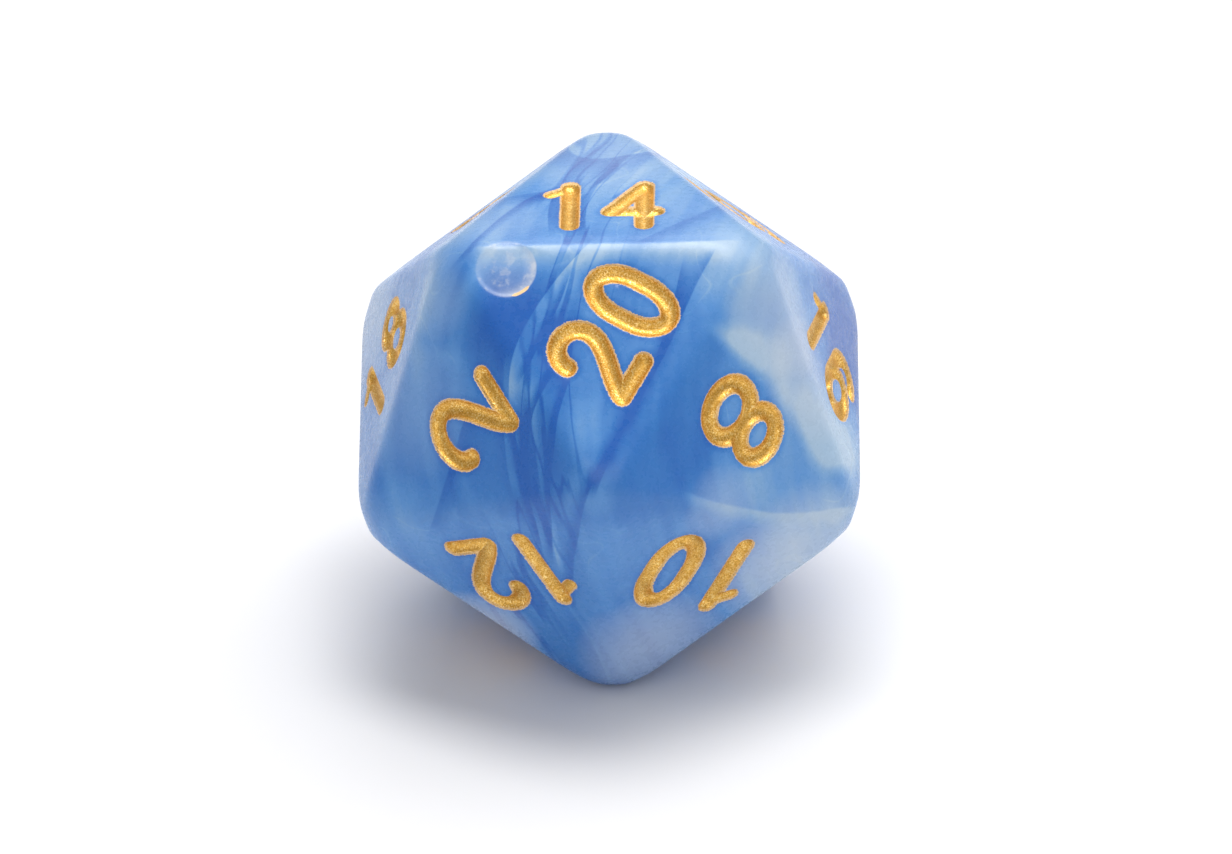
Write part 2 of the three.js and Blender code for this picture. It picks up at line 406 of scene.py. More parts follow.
def close_tree(board, geometry, material):
    """Every tree ends the same way: smooth shading, real geometry and its material."""
    smooth = board.add("GeometryNodeSetShadeSmooth", None, {"Geometry": geometry})
    real = board.add("GeometryNodeRealizeInstances", None, {"Geometry": smooth})
    done = board.add("GeometryNodeSetMaterial", None, {"Geometry": real, "Material": material})
    board.add("NodeGroupOutput", None, {"Geometry": done})


def grow(source, board, values, name):
    """Runs a tree on an object and returns the result as a new object with a plain mesh."""
    tree = board.tree
    sockets = [s for s in tree.interface.items_tree if s.in_out == "INPUT"]
    identifiers = {s.name: s.identifier for s in sockets}
    modifier = source.modifiers.new(tree.name, "NODES")
    modifier.node_group = tree
    for label, value in values.items():
        modifier[identifiers[label]] = value
    evaluated = source.evaluated_get(bpy.context.evaluated_depsgraph_get())
    mesh = bpy.data.meshes.new_from_object(evaluated)
    source.modifiers.remove(modifier)
    return put_in_scene(name, mesh)


def plain_object(name, points, edges=(), faces=()):
    mesh = bpy.data.meshes.new(name)
    mesh.from_pydata([tuple(p) for p in points], list(edges), list(faces))
    return put_in_scene(name, mesh)


def discard(*objects):
    for obj in objects:
        bpy.data.objects.remove(obj)


print("a tree's helpers are ready")

# %% [markdown]
# ## Centre lines as edges
# The strokes become chains of edges, which Geometry Nodes can measure the distance to. The body
# needs all of them where they lie on the die, and each deposit of paint needs only its own digit's,
# flat in front of it.


# %% Stroke objects
def chains(strokes, matrix):
    """Chains of edges along the strokes, which are in millimetres on a face."""
    points, edges = [], []
    for stroke in strokes:
        first = len(points)
        points += [matrix @ Vector((x * MM, y * MM, 0)) for x, y in stroke]
        edges += [(i, i + 1) for i in range(first, len(points) - 1)]
    return points, edges


def mark_matrix(number, place):
    return face_frame(number) @ Matrix.Translation((place[0] * MM, place[1] * MM, 0))


def all_strokes(kind):
    """Every wide or thin stroke of the die, in one object."""
    points, edges = [], []
    for number, marks in MARKS.items():
        for _, wide, thin, place in marks:
            strokes = wide if kind == "wide" else thin
            more, links = chains(strokes, mark_matrix(number, place))
            edges += [(a + len(points), b + len(points)) for a, b in links]
            points += more
    return plain_object(f"{kind}_strokes", points, edges)


wide_strokes = all_strokes("wide")
thin_strokes = all_strokes("thin")
print("points on wide strokes:", len(wide_strokes.data.vertices))
print("points on thin strokes:", len(thin_strokes.data.vertices))

# %% [markdown]
# ## A blank with small triangles only where they are needed
# The grooves and the rounded edges curve within a fraction of a millimetre, and the faces between
# them are flat. A mesh that was fine everywhere would be far too heavy, so the flat-faced die is
# refined in passes, each one nearer to the rims of the grooves.

# %% Sizes of the cut
TOOL_RADIUS = 0.42 * MM
THIN_RADIUS = 0.3 * MM
TOOL_LIFT = 0.06 * MM
EDGE_RADIUS = 0.8 * MM
GATE_RADIUS = 1.32 * MM
GATE_CENTRE = face_frame(20) @ Vector((0.35 * MM, 4.85 * MM, 0))
TOOL_SIZES = {"Tool radius": TOOL_RADIUS, "Thin tool radius": THIN_RADIUS, "Tool lift": TOOL_LIFT}
WIDE_REACH = math.sqrt(TOOL_RADIUS**2 - TOOL_LIFT**2)
THIN_REACH = math.sqrt(THIN_RADIUS**2 - TOOL_LIFT**2)
print("half width of a groove in mm:", round(WIDE_REACH / MM, 3), round(THIN_REACH / MM, 3))


# %% The refined blank
FIRST_CUTS = 15
# Each pass refines what is nearer than this, in mm, to a groove's rim, to the border of a face, to
# the middle of the gate mark, and to a corner of the die.
PASSES = [(1.0, 1.1, 1.7, 3.0), (0.5, 0.6, 1.6, 2.6), (0.26, 0.0, 1.5, 0.0), (0.075, 0.0, 0.0, 0.0)]
CORNER_PLACES = np.array([point[:] for point in CORNERS.values()])
NORMALS = np.array([face_frame(n).col[2][:3] for n in FACES])
FACE_ANGLE_COSINE = math.sqrt(5) / 3
BORDER_SINE = math.sqrt(1 - FACE_ANGLE_COSINE**2)


def stroke_tree(obj):
    tree = KDTree(len(obj.data.vertices))
    for i, vertex in enumerate(obj.data.vertices):
        tree.insert(vertex.co, i)
    tree.balance()
    return tree


def refined_blank():
    """The flat-faced die, refined near groove rims, near its edges and round the gate mark."""
    wide, thin = stroke_tree(wide_strokes), stroke_tree(thin_strokes)
    names = list(CORNERS)
    faces = [[names.index(name) for name in row[0]] for row in FACES.values()]
    mesh = bmesh.new()
    corners = [mesh.verts.new(CORNERS[name]) for name in names]
    for face in faces:
        mesh.faces.new([corners[i] for i in face])
    bmesh.ops.recalc_face_normals(mesh, faces=mesh.faces)
    bmesh.ops.subdivide_edges(mesh, edges=mesh.edges, cuts=FIRST_CUTS, use_grid_fill=True)
    for rim, border, gate, tip in PASSES:
        edges = list(mesh.edges)
        middles = np.array([((e.verts[0].co + e.verts[1].co) / 2)[:] for e in edges])
        heights = np.sort((middles - np.array(CENTRE)) @ NORMALS.T, axis=1)
        inset = (FACE_TO_FACE / 2 - heights[:, -2]) / BORDER_SINE
        from_gate = np.linalg.norm(middles - np.array(GATE_CENTRE), axis=1)
        from_tips = np.linalg.norm(middles[:, None] - CORNER_PLACES[None], axis=2).min(axis=1)
        chosen = (inset < border * MM) | (from_gate < gate * MM) | (from_tips < tip * MM)
        for i, middle in enumerate(middles):
            if not chosen[i]:
                gaps = (wide.find(middle)[2] - WIDE_REACH, thin.find(middle)[2] - THIN_REACH)
                chosen[i] = abs(min(gaps)) < rim * MM
        picked = [edge for edge, keep in zip(edges, chosen) if keep]
        bmesh.ops.subdivide_edges(mesh, edges=picked, cuts=1, use_grid_fill=True)
        bmesh.ops.triangulate(mesh, faces=[f for f in mesh.faces if len(f.verts) > 3])
        print("edges refined:", len(picked), "triangles now:", len(mesh.faces))
    blank = plain_object("blank", [])
    mesh.to_mesh(blank.data)
    mesh.free()
    return blank


blank = refined_blank()

# %% The smaller die inside
core_shrink = 1 - EDGE_RADIUS / (FACE_TO_FACE / 2)
core_points = [CENTRE + (point - CENTRE) * core_shrink for point in CORNERS.values()]
core_faces = [[list(CORNERS).index(name) for name in row[0]] for row in FACES.values()]
core = plain_object("core", core_points, faces=core_faces)
print("the inner die is", round(core_shrink, 3), "times the size")

# %% [markdown]
# ## Measuring the distance to a centre line
# A ball-nosed tool leaves a round trough. Its depth follows from the distance to the centre line,
# so the same few sums serve the body, which has the trough, and the paint, which lies in it. Flags
# and underlines were cut with a thinner tool, so both tools are measured and the deeper cut wins.

# %% Sums for a groove
FAR_AWAY = 1.0


def nearest(board, strokes, place):
    """The nearest point of the strokes, and the distance to it: far away if there are none."""
    feeds = {"Target": strokes, "Source Position": place}
    point = board.add("GeometryNodeProximity", {"target_element": "EDGES"}, feeds, "Position")
    feeds = {"Switch": point.out("Is Valid"), "False": FAR_AWAY, "True": point.out("Distance")}
    return point, board.add("GeometryNodeSwitch", {"input_type": "FLOAT"}, feeds)


def reach_of(radius, lift):
    return (radius * radius - lift * lift).root()


def ball_depth(distance, radius, lift):
    """Depth of a ball's underside below the face. It is less than nothing outside the groove."""
    return (radius * radius - distance * distance).root() - lift


def film_depth(distance, reach, deepest):
    """Depth of a shallower ball that meets the face at the same reach."""
    radius = (reach * reach / deepest + deepest) / 2
    return ball_depth(distance, radius, radius - deepest)


def measure(board, given, wide, thin, place):
    """Both distances, the gap past the nearer rim, and the point on the stroke it belongs to."""
    wide_point, wide_distance = nearest(board, wide, place)
    thin_point, thin_distance = nearest(board, thin, place)
    wide_gap = wide_distance - reach_of(given["Tool radius"], given["Tool lift"])
    thin_gap = thin_distance - reach_of(given["Thin tool radius"], given["Tool lift"])
    feeds = {"Switch": wide_gap < thin_gap, "False": thin_point, "True": wide_point}
    point = board.add("GeometryNodeSwitch", {"input_type": "VECTOR"}, feeds)
    return wide_distance, thin_distance, wide_gap.at_most(thin_gap), point


def trough(given, wide_distance, thin_distance):
    """Depth of the cut, whichever tool went deeper."""
    wide_depth = ball_depth(wide_distance, given["Tool radius"], given["Tool lift"])
    return wide_depth.at_least(ball_depth(thin_distance, given["Thin tool radius"], given["Tool lift"]))


def store(board, geometry, name, value, kind="FLOAT"):
    settings = {"data_type": kind, "domain": "POINT"}
    feeds = {"Geometry": geometry, "Name": name, "Value": value}
    return board.add("GeometryNodeStoreNamedAttribute", settings, feeds)


def moved(board, geometry, place, where=None):
    feeds = {"Geometry": geometry, "Position": place}
    if where is not None:
        feeds["Selection"] = where
    return board.add("GeometryNodeSetPosition", None, feeds)


print("sums for a groove are ready")

# %% [markdown]
# ## The body
# First the blank is rounded: every point is pushed out from a smaller die inside it by one radius,
# which rounds the edges and keeps the faces flat. A ball round the middle wears the corners down,
# as tumbling does. Points near a groove's rim then slide onto it, so the rim is a clean line, and
# points inside drop to the depth of the tool. The distance to the rim is stored for the material.

# %% The body's tree
BODY_SIZES = {
    **TOOL_SIZES,
    "Edge radius": EDGE_RADIUS,
    "Corner reach": 11.88 * MM,
    "Corner softness": 0.75 * MM,
    "Rim slide": 0.03 * MM,
    "Rim softness": 0.07 * MM,
    "Gate radius": GATE_RADIUS,
    "Gate depth": 0.04 * MM,
    "Gate softness": 0.26 * MM,
}


def body_tree():
    inputs = {label: "Float" for label in BODY_SIZES}
    inputs.update({"Middle": "Vector", "Gate centre": "Vector", "Resin": "Material"})
    inputs.update({label: "Object" for label in ("Core", "Wide strokes", "Thin strokes")})
    board, given = new_tree("body_of_the_die", inputs)
    core, wide, thin = (
        board.add("GeometryNodeObjectInfo", None, {"Object": given[label]}, "Geometry")
        for label in ("Core", "Wide strokes", "Thin strokes")
    )
    place = board.add("GeometryNodeInputPosition")

    feeds = {"Target": core, "Source Position": place}
    inside = board.add("GeometryNodeProximity", {"target_element": "FACES"}, feeds, "Position")
    outward = (place - inside).unit()
    arm = inside + outward * given["Edge radius"] - given["Middle"]
    worn = arm.maths("SMOOTH_MIN", arm.length(), given["Corner reach"], given["Corner softness"])
    shaped = store(board, given["Geometry"], "outward", outward, "FLOAT_VECTOR")
    shaped = moved(board, shaped, given["Middle"] + arm.unit() * worn)

    *distances, gap, line_point = measure(board, given, wide, thin, place)
    slid = place - (place - line_point).unit() * gap
    shaped = moved(board, shaped, slid, gap.size() < given["Rim slide"])
    shaped = store(board, shaped, "rim_gap", gap / MM)

    depth = trough(given, *distances)
    depth = depth.maths("SMOOTH_MAX", depth, 0.0, given["Rim softness"])
    gate_inset = given["Gate radius"] - (place - given["Gate centre"]).length()
    feeds = {"Value": gate_inset / given["Gate softness"]}
    gate_step = board.add("ShaderNodeMapRange", {"interpolation_type": "SMOOTHSTEP"}, feeds)
    depth = depth.at_least(gate_step * given["Gate depth"])
    named = {"data_type": "FLOAT_VECTOR"}
    stored = board.add("GeometryNodeInputNamedAttribute", named, {"Name": "outward"})
    shaped = moved(board, shaped, place - stored * depth)
    shaped = board.add("GeometryNodeRemoveAttribute", None, {"Geometry": shaped, "Name": "outward"})
    close_tree(board, shaped, given["Resin"])
    return board


resin = bpy.data.materials.new("marbled_resin")
gold = bpy.data.materials.new("gold_paint")
body_values = {
    **BODY_SIZES,
    "Middle": CENTRE,
    "Gate centre": GATE_CENTRE,
    "Resin": resin,
    "Core": core,
    "Wide strokes": wide_strokes,
    "Thin strokes": thin_strokes,
}
die_body = grow(blank, body_tree(), body_values, "die_body")
discard(blank, core, wide_strokes, thin_strokes)
print("body triangles:", len(die_body.data.polygons))

# %% [markdown]
# ## Even highlights on the rounded edges
# Triangles of mixed sizes give a rounded edge slightly uneven normals, and a gloss shows that as a
# hammered look. The shape is right, so only the normals are evened out: each one is averaged with
# its neighbours a few times. Grooves and the gate mark keep their own normals, so they stay crisp.

# %% Even normals
AVERAGES = 5
GROOVE_GUARD = 0.12
GATE_GUARD = 1.7


def even_normals(mesh):
    """Averages the normals with their neighbours, away from the grooves and the gate mark."""
    points, normals = (np.empty((len(mesh.vertices), 3)) for _ in range(2))
    mesh.vertices.foreach_get("co", points.ravel())
    mesh.vertex_normals.foreach_get("vector", normals.ravel())
    ends = np.empty((len(mesh.edges), 2), dtype=np.int32)
    mesh.edges.foreach_get("vertices", ends.ravel())
    gaps = np.empty(len(mesh.vertices))
    mesh.attributes["rim_gap"].data.foreach_get("value", gaps)
    from_gate = np.linalg.norm(points - np.array(GATE_CENTRE), axis=1)
    free = (gaps > GROOVE_GUARD) & (from_gate > GATE_GUARD * MM)
    for _ in range(AVERAGES):
        total = normals.copy()
        np.add.at(total, ends[:, 0], normals[ends[:, 1]])
        np.add.at(total, ends[:, 1], normals[ends[:, 0]])
        total /= np.linalg.norm(total, axis=1, keepdims=True)
        normals[free] = total[free]
    mesh.normals_split_custom_set_from_vertices(normals)
    return int(free.sum())


print("normals evened:", even_normals(die_body.data))

# %% [markdown]
# ## The paint
# Paint runs down into the groove and dries as a film, thick at the bottom and thin at the rim. The
# tree lays a fine grid over one digit, throws away what lies outside the groove, slides the ragged
# border onto the rim, sinks the sheet to the wall of the groove, and gives it a top with a slight
# waviness. It runs once for each digit, with that digit's own centre lines.

# %% The paint's tree
RIPPLES_PER_MM = 2.2
RIPPLE_GROWTH_PER_MM = 8
MERGE = 0.0005 * MM
PAINT_SIZES = {
    **TOOL_SIZES,
    "Spacing": 0.05 * MM,
    "Margin": 0.012 * MM,
    "Paint share": 0.82,
    "Clearance": 0.008 * MM,
    "Ripple": 0.014 * MM,
}


def upward(board):
    return board.add("ShaderNodeCombineXYZ", None, {"X": 0.0, "Y": 0.0, "Z": 1.0})


def paint_tree():
    inputs = {label: "Float" for label in (*PAINT_SIZES, "Seed")}
    board, given = new_tree("paint_in_a_groove", {**inputs, "Gold": "Material"})
    named = board.add("GeometryNodeInputNamedAttribute", {"data_type": "BOOLEAN"}, {"Name": "thin"})
    feeds = {"Geometry": given["Geometry"], "Selection": named}
    thin = board.add("GeometryNodeSeparateGeometry", {"domain": "POINT"}, feeds)
    wide = thin.out(1)

    edge = given["Tool radius"] + given["Spacing"] * 2
    lowest = board.add("GeometryNodeBoundBox", None, {"Geometry": given["Geometry"]}, "Min")
    highest = lowest.out("Max")
    size = board.add("ShaderNodeSeparateXYZ", None, {"Vector": highest - lowest})
    width, height = size + edge * 2, size.out("Y") + edge * 2
    columns, rows = width / given["Spacing"] + 1, height / given["Spacing"] + 1
    feeds = {"Size X": width, "Size Y": height, "Vertices X": columns, "Vertices Y": rows}
    grid = board.add("GeometryNodeMeshGrid", None, feeds)
    place = board.add("GeometryNodeInputPosition")
    grid = moved(board, grid, place + (lowest + highest) * 0.5)

    flat = place * board.add("ShaderNodeCombineXYZ", None, {"X": 1.0, "Y": 1.0, "Z": 0.0})
    *distances, gap, line_point = measure(board, given, wide, thin, flat)
    inset = gap + given["Margin"]
    feeds = {"Geometry": grid, "Selection": inset > given["Spacing"]}
    grid = board.add("GeometryNodeDeleteGeometry", {"domain": "POINT"}, feeds)
    slid = place - (place - line_point).unit() * inset
    grid = moved(board, grid, slid, inset > given["Spacing"] * -0.5)
    feeds = {"Geometry": grid, "Distance": given["Spacing"] * 0.25}
    grid = board.add("GeometryNodeMergeByDistance", None, feeds)

    wall = trough(given, *distances)
    films = []
    for distance, label in zip(distances, ("Tool radius", "Thin tool radius")):
        deepest = (given[label] - given["Tool lift"]) * given["Paint share"]
        films.append(film_depth(distance, reach_of(given[label], given["Tool lift"]), deepest))
    film = films[0].at_least(films[1])
    settings = {"noise_dimensions": "4D"}
    feeds = {"Vector": flat, "W": given["Seed"], "Scale": RIPPLES_PER_MM / MM, "Detail": 3.0}
    ripple = (board.add("ShaderNodeTexNoise", settings, feeds) - 0.5) * given["Ripple"]
    deeper = (gap * -RIPPLE_GROWTH_PER_MM / MM).at_most(1)
    bottom = moved(board, grid, flat - upward(board) * (wall - given["Clearance"]))
    feeds = {"Mesh": bottom, "Offset": upward(board), "Offset Scale": given["Clearance"]}
    feeds["Individual"] = False
    slab = board.add("GeometryNodeExtrudeMesh", {"mode": "FACES"}, feeds)
    slab_top = moved(board, slab, flat - upward(board) * (film + ripple * deeper), slab.out("Top"))
    under = board.add("GeometryNodeFlipFaces", None, {"Mesh": bottom})
    whole = board.add("GeometryNodeJoinGeometry", None, {"Geometry": slab_top})
    board.tree.links.new(under.socket, whole.socket.node.inputs[0])
    whole = board.add("GeometryNodeMergeByDistance", None, {"Geometry": whole, "Distance": MERGE})
    whole = store(board, whole, "rim_gap", gap / MM)
    close_tree(board, whole, given["Gold"])
    return board


paint_board = paint_tree()
print("nodes in the paint's tree:", len(paint_board.tree.nodes))

# %% Paint every digit
def paint_mark(number, node, wide, thin, place):
    """One deposit of paint, grown flat and then laid in its groove."""
    points, edges = chains(wide + thin, Matrix())
    lines = plain_object("centre_lines", points, edges)
    flags = lines.data.attributes.new("thin", "BOOLEAN", "POINT")
    wide_points = sum(len(stroke) for stroke in wide)
    flags.data.foreach_set("value", [i >= wide_points for i in range(len(points))])
    values = {**PAINT_SIZES, "Gold": gold, "Seed": float(number)}
    deposit = grow(lines, paint_board, values, node.replace("gold", "paint"))
    deposit.data.transform(mark_matrix(number, place))
    discard(lines)
    return deposit


deposits = {}
for number, marks in MARKS.items():
    for node, wide, thin, place in marks:
        deposits[node] = paint_mark(number, node, wide, thin, place)
polygons = sum(len(deposit.data.polygons) for deposit in deposits.values())
print("deposits:", len(deposits), "polygons:", polygons)

# %% [markdown]
# ## Gold paint
# The paint is a dull binder full of tiny metal flakes. Flakes lie every way, so some flash and
# some stay dark, and the surface between them is a little rough. The flash is a painted glint: the
# brightest specks are laid into the paint's colour. At the rim of a groove the paint was wiped
# away, which leaves a thin pale line of binder with a ragged border. Both the deposits and the rim
# of the body use this finish, so it is written once.


# %% Gold finish
def start_material(material):
    """Empties a material's tree and returns its board and its place on the object, in millimetres."""
    material.use_nodes = True
    material.node_tree.nodes.clear()
    board = Board(material.node_tree)
    return board, board.add("ShaderNodeTexCoord", out="Object") * (1 / MM)


def noise(board, place, scale, detail=2.0, roughness=0.5, out="Fac"):
    feeds = {"Vector": place, "Scale": scale, "Detail": detail, "Roughness": roughness}
    return board.add("ShaderNodeTexNoise", None, feeds, out)


def ease(board, value, start, end, low=0.0, high=1.0):
    """A smooth step from low to high as the value goes from start to end."""
    feeds = {"Value": value, "From Min": start, "From Max": end, "To Min": low, "To Max": high}
    return board.add("ShaderNodeMapRange", {"interpolation_type": "SMOOTHSTEP"}, feeds)


def blend_colours(board, factor, first, second):
    feeds = {"Factor_Float": factor, "A_Color": first, "B_Color": second}
    return board.add("ShaderNodeMix", {"data_type": "RGBA"}, feeds, "Result_Color")


GOLD_DARK = (0.54, 0.27, 0.040, 1)
GOLD_MID = (0.91, 0.54, 0.105, 1)
GOLD_GLINT = (1.0, 0.82, 0.40, 1)
BINDER_PALE = (0.90, 0.62, 0.33, 1)
FLAKES_PER_MM = 15.0
FLAKE_HEIGHT = 0.02 * MM
BLOTCHES_PER_MM = 1.8


def gold_finish(board, place, gap):
    """The paint's shader. The gap is the distance past the groove's rim, in millimetres."""
    flakes = noise(board, place, FLAKES_PER_MM, 2.0, 0.7)
    blotches = noise(board, place, BLOTCHES_PER_MM, 3.0)
    tone = ease(board, flakes, 0.34, 0.58)
    colour = blend_colours(board, tone, GOLD_DARK, GOLD_MID)
    # Painted glint: the brightest specks stand for flakes that catch the light.
    colour = blend_colours(board, ease(board, flakes, 0.53, 0.66), colour, GOLD_GLINT)
    colour = blend_colours(board, ease(board, blotches, 0.62, 0.36) * 0.4, colour, GOLD_DARK)
    rim = ease(board, gap + (flakes - 0.5) * 0.12, -0.075, -0.01)
    colour = blend_colours(board, rim * 0.85, colour, BINDER_PALE)
    feeds = {"Height": flakes, "Strength": 0.5, "Distance": FLAKE_HEIGHT}
    normal = board.add("ShaderNodeBump", None, feeds)
    feeds = {
        "Base Color": colour,
        "Metallic": 0.85 - rim * 0.6,
        "Roughness": ease(board, flakes, 0.3, 0.7, 0.52, 0.32) + rim * 0.15,
        "Normal": normal,
    }
    return board.add("ShaderNodeBsdfPrincipled", None, feeds)


board, place = start_material(gold)
gap = board.add("ShaderNodeAttribute", {"attribute_name": "rim_gap"}, out="Fac")
board.add("ShaderNodeOutputMaterial", None, {"Surface": gold_finish(board, place, gap)})
print("nodes in the gold paint:", len(gold.node_tree.nodes))

# %% [markdown]
# ## Marbled resin
# Two resins that are folded together stay in sheets, and a flat face cuts the sheets into streaks.
# Each sheet has one sharp side, where it was folded over, and one side that fades into the blue. Here
# a sheet is a curve through three points, seen from the front of the die and run straight through
# it. Soft patches of deeper blue and of milky white lie between the sheets, slow noise bends it all,
# and a fine grain stands for the mica that gives the pearl. One level band is no sheet of resin but a
# painted highlight, just below the rounded edge between the top face and the 20, where that edge
# catches the light.

# %% Where the sheets and patches are
# Each patch: its middle and its radius in millimetres, and how much paler or deeper it is.
TONE_PATCHES = [
    ((-3.3, -6.6, 17.3), 3.0, -0.42),
    ((3.6, -7.6, 16.6), 2.6, -0.05),
    ((2.2, -10.2, 13.6), 3.4, -0.12),
    ((-0.5, -9.6, 14.6), 1.7, 0.20),
    ((-3.8, -9.3, 13.0), 3.0, -0.28),
    ((-0.4, -11.6, 12.9), 1.5, 0.24),
    ((-7.0, -4.3, 17.6), 1.8, 0.20),
    ((-7.8, -5.6, 13.6), 3.4, 0.08),
    ((-8.4, -7.4, 8.2), 2.4, 0.14),
    ((7.2, -4.2, 17.6), 3.8, 0.36),
    ((8.4, -6.4, 10.6), 3.8, 0.34),
    ((5.0, -9.4, 10.4), 2.4, 0.25),
    ((8.2, -6.4, 5.8), 4.0, 0.30),
    ((0.2, 3.6, 20.0), 6.5, 0.36),
    ((-5.4, -1.6, 20.0), 3.0, 0.26),
    ((4.6, -2.0, 20.0), 4.0, 0.18),
    ((10.8, 2.2, 12.6), 4.2, -0.50),
    ((-10.2, 3.6, 13.0), 5.0, 0.25),
]
MILK_PATCHES = [
    ((7.6, -4.4, 16.6), 3.0, 0.36),
    ((8.6, -4.8, 14.0), 2.8, 0.40),
    ((7.8, -7.2, 6.6), 3.8, 0.50),
    ((5.0, -9.4, 10.4), 1.8, 0.20),
    ((1.8, -8.2, 2.6), 3.6, 0.42),
    ((-5.4, -6.6, 3.0), 2.4, 0.65),
    ((-10.4, 3.6, 12.6), 4.4, 0.30),
    ((0.2, 4.6, 20.0), 4.4, 0.22),
    ((-5.0, -1.5, 20.0), 3.0, 0.16),
    ((4.6, -2.0, 20.0), 3.8, 0.08),
    ((-8.4, -5.2, 13.4), 3.8, 0.12),
    ((-6.8, -4.4, 17.8), 2.0, 0.15),
]
# Each sheet: three points on its fold as (right, up) from the middle of the die, how far it fades on
# either side of the fold, all in millimetres, and how much paler or deeper it is. The first fade is
# on the left of an upright sheet and below a level one.
UPRIGHT_SHEETS = [
    ((-1.2, 6.2), (-3.0, 3.8), (-3.9, 1.0), 0.06, 1.9, 0.44),
    ((-4.1, 1.6), (-4.2, -0.6), (-4.0, -2.8), 0.06, 0.8, 0.20),
    ((-2.0, 1.6), (-2.9, 0.0), (-3.2, -3.0), 0.5, 0.06, -0.46),
    ((-1.6, 5.0), (-2.2, 3.6), (-3.0, 2.0), 0.4, 0.06, -0.40),
    ((-1.6, 0.7), (-2.1, -1.4), (-2.4, -5.4), 0.45, 0.06, -0.44),
    ((-3.9, -0.4), (-3.5, -2.6), (-3.0, -5.0), 0.4, 0.06, -0.48),
    ((-3.0, 0.3), (-2.8, -2.4), (-2.2, -6.0), 0.08, 0.35, 0.26),
    ((3.2, 5.2), (1.9, 1.6), (-0.3, -2.6), 0.06, 0.7, -0.34),
    ((4.4, 5.8), (2.4, 2.2), (0.0, -2.7), 0.8, 0.08, -0.36),
    ((-0.4, -2.9), (-1.2, -5.0), (-1.5, -7.2), 0.7, 0.06, -0.30),
    ((-1.2, 10.4), (-1.7, 9.7), (-2.2, 8.2), 0.06, 1.0, -0.42),
    ((0.7, 10.7), (-0.2, 9.6), (-0.7, 8.0), 1.0, 0.08, -0.34),
    ((5.7, 2.5), (7.5, 0.6), (9.2, -2.0), 1.2, 3.0, 0.50),
    ((-6.0, -0.8), (-6.7, -2.8), (-7.3, -4.6), 0.06, 0.9, -0.22),
    ((-1.4, -9.0), (-0.7, -10.2), (-0.1, -11.6), 0.08, 0.25, 0.20),
]
LEVEL_SHEETS_AND_PAINTED_HIGHLIGHT = [
    # The first level sheet is a painted highlight, not a fold: it lies just below the rounded edge
    # between the top face and the 20, where that edge catches the light.
    ((-4.4, 6.75), (0.0, 6.8), (4.9, 6.75), 1.2, 0.12, 0.42),
    ((-2.4, 10.7), (-0.4, 10.5), (1.8, 11.2), 0.9, 0.06, -0.38),
    ((-5.3, 7.0), (-4.2, 8.0), (-2.8, 8.9), 0.45, 0.05, -0.40),
    ((-6.2, 8.0), (-4.6, 8.6), (-2.8, 9.0), 0.5, 0.05, -0.22),
    ((2.2, 7.2), (4.0, 7.9), (6.0, 8.6), 0.6, 0.06, -0.22),
    ((4.0, -3.9), (6.0, -4.4), (9.8, -4.4), 0.7, 0.16, 0.28),
]
print("patches:", len(TONE_PATCHES) + len(MILK_PATCHES))
print("sheets:", len(UPRIGHT_SHEETS) + len(LEVEL_SHEETS_AND_PAINTED_HIGHLIGHT))

# %% [markdown]
# ## Patches and sheets as sums
# A patch is a soft ball, so only the distance to its middle matters. A sheet is measured across its
# fold: the curve is subtracted, and two smooth steps fade it on either side.

# %% Sums for patches and sheets
SHEET_END = 1.2



def patches(board, place, table):
    """The sum of soft round patches: full in the middle and fading to nothing at the radius."""
    total = 0.0
    for middle, radius, amount in table:
        share = (1 - (place - middle).length() / radius).at_least(0)
        total = share * (2 - share) * amount + total
    return total


def sheet(board, along, across, path, near_side, far_side):
    """A band along a smooth curve through three points given as (along, across). Most bands are folds
    of the resin, and one is the painted highlight under the top edge of the 20.
    """
    bend_of, slope_of, start_of = (float(x) for x in np.polyfit(*zip(*path), 2))
    beside = across - ((along * bend_of + slope_of) * along + start_of)
    share = ease(board, beside, -near_side, 0) * ease(board, beside, far_side, 0)
    low, high = min(p[0] for p in path), max(p[0] for p in path)
    ends = ease(board, along, low - SHEET_END, low) * ease(board, along, high + SHEET_END, high)
    return share * ends


print("sheets fade out over", SHEET_END, "mm past their ends")

# %% [markdown]
# ## How pale the resin is
# The sheets are laid out as they look from the front and a little above, so the tone is worked out in
# that slanted frame. Towards the back of the die the slow drift bends them more. Slow clouds vary the
# tone of whole faces. In the middle, many thin veils hang side by side like a curtain, with dark
# threads between them, and pale wisps cross the paler parts.

# %% Tone of the resin
VIEW_SLOPE = math.radians(29)
MEAN_TONE = 0.40
CLOUDS_PER_MM, CLOUD_CONTRAST = 0.17, 0.7
VEILS_PER_MM, VEIL_CONTRAST = 1.1, 0.6
FOLDS_PER_MM = 0.32
THREAD_DEPTH = 0.36
WISP_PALENESS = 0.12


def slanted(board, place):
    """How far right and up a point is from the middle of the die, seen along the slope, and its Y."""
    axes = board.add("ShaderNodeSeparateXYZ", None, {"Vector": place})
    right, depth = axes.out("X"), axes.out("Y")
    height = (axes.out("Z") - FACE_TO_FACE / MM / 2) * math.cos(VIEW_SLOPE)
    return right, height + depth * math.sin(VIEW_SLOPE), depth


